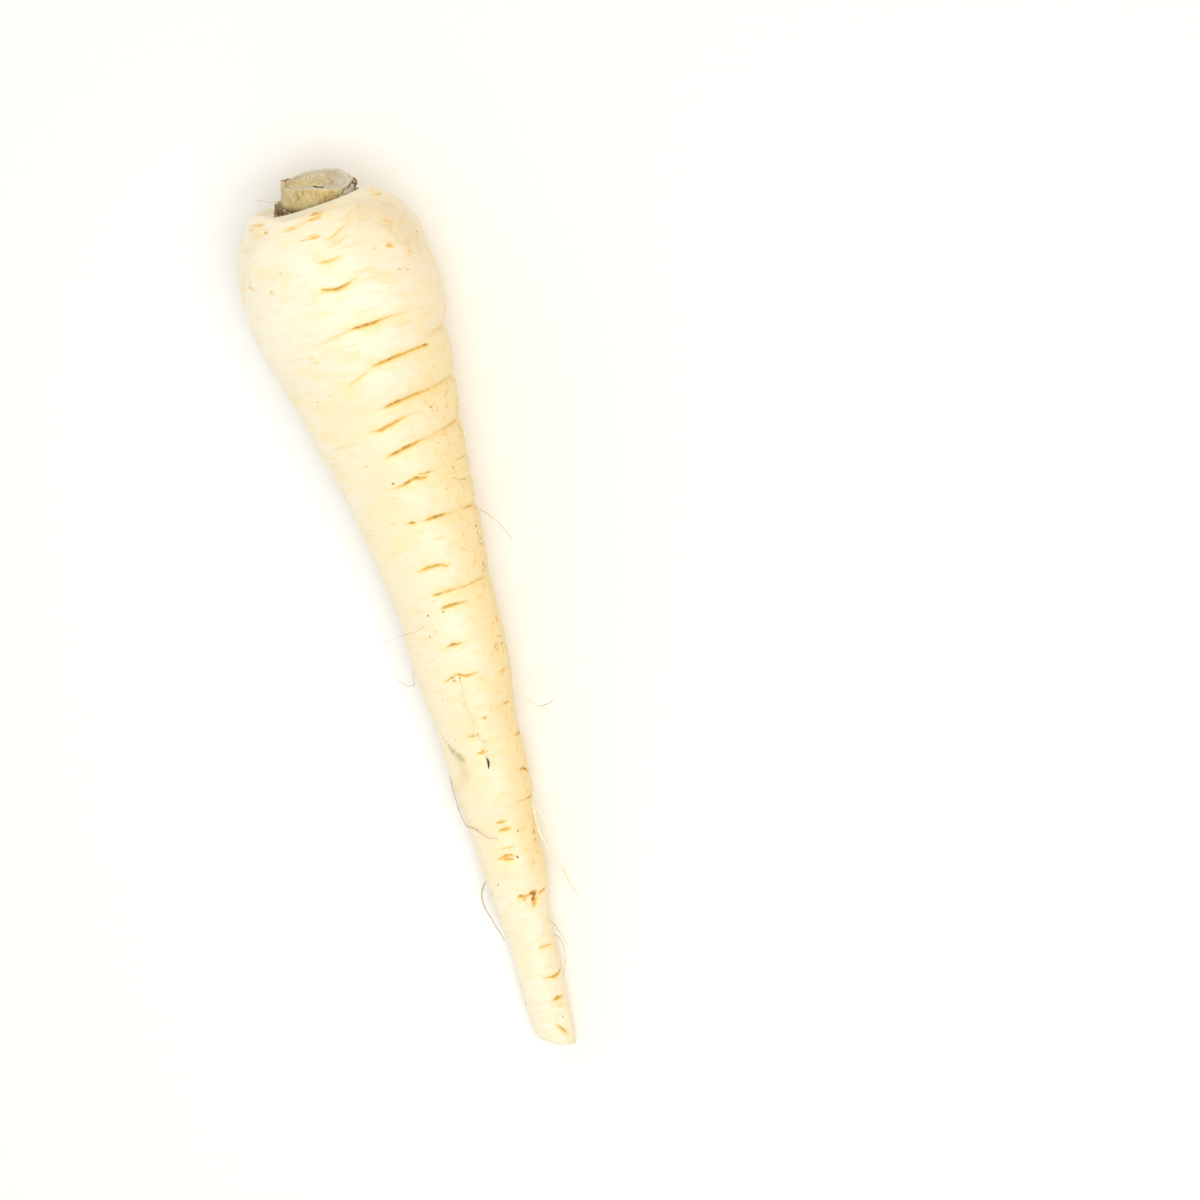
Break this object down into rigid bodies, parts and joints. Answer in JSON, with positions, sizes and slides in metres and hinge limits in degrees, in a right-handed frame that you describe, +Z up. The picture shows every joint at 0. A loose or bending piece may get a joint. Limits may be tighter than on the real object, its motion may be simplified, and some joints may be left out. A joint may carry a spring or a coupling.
{
  "type": "parsnip",
  "caption": "Whole parsnip lying on its side: creased cream taproot with rootlets and a cut tip, and the cut leaf stalks standing in its hollow crown.",
  "frame": {"origin": "on the surface the parsnip lies on, under the centre of its bounding box", "axes": "+Z up, +Y along the root toward its crown, -Y toward the cut tip, +X to the creased side"},
  "size_m": [0.0523, 0.249, 0.0523],
  "materials": {
    "root_skin": "waxy satin",
    "leaf_stalk": "dry, fibrous, matt"
  },
  "bodies": {
    "root": {"taproot": "root_skin", "leaf_stalk_stub": "leaf_stalk"}
  },
  "joints": []
}
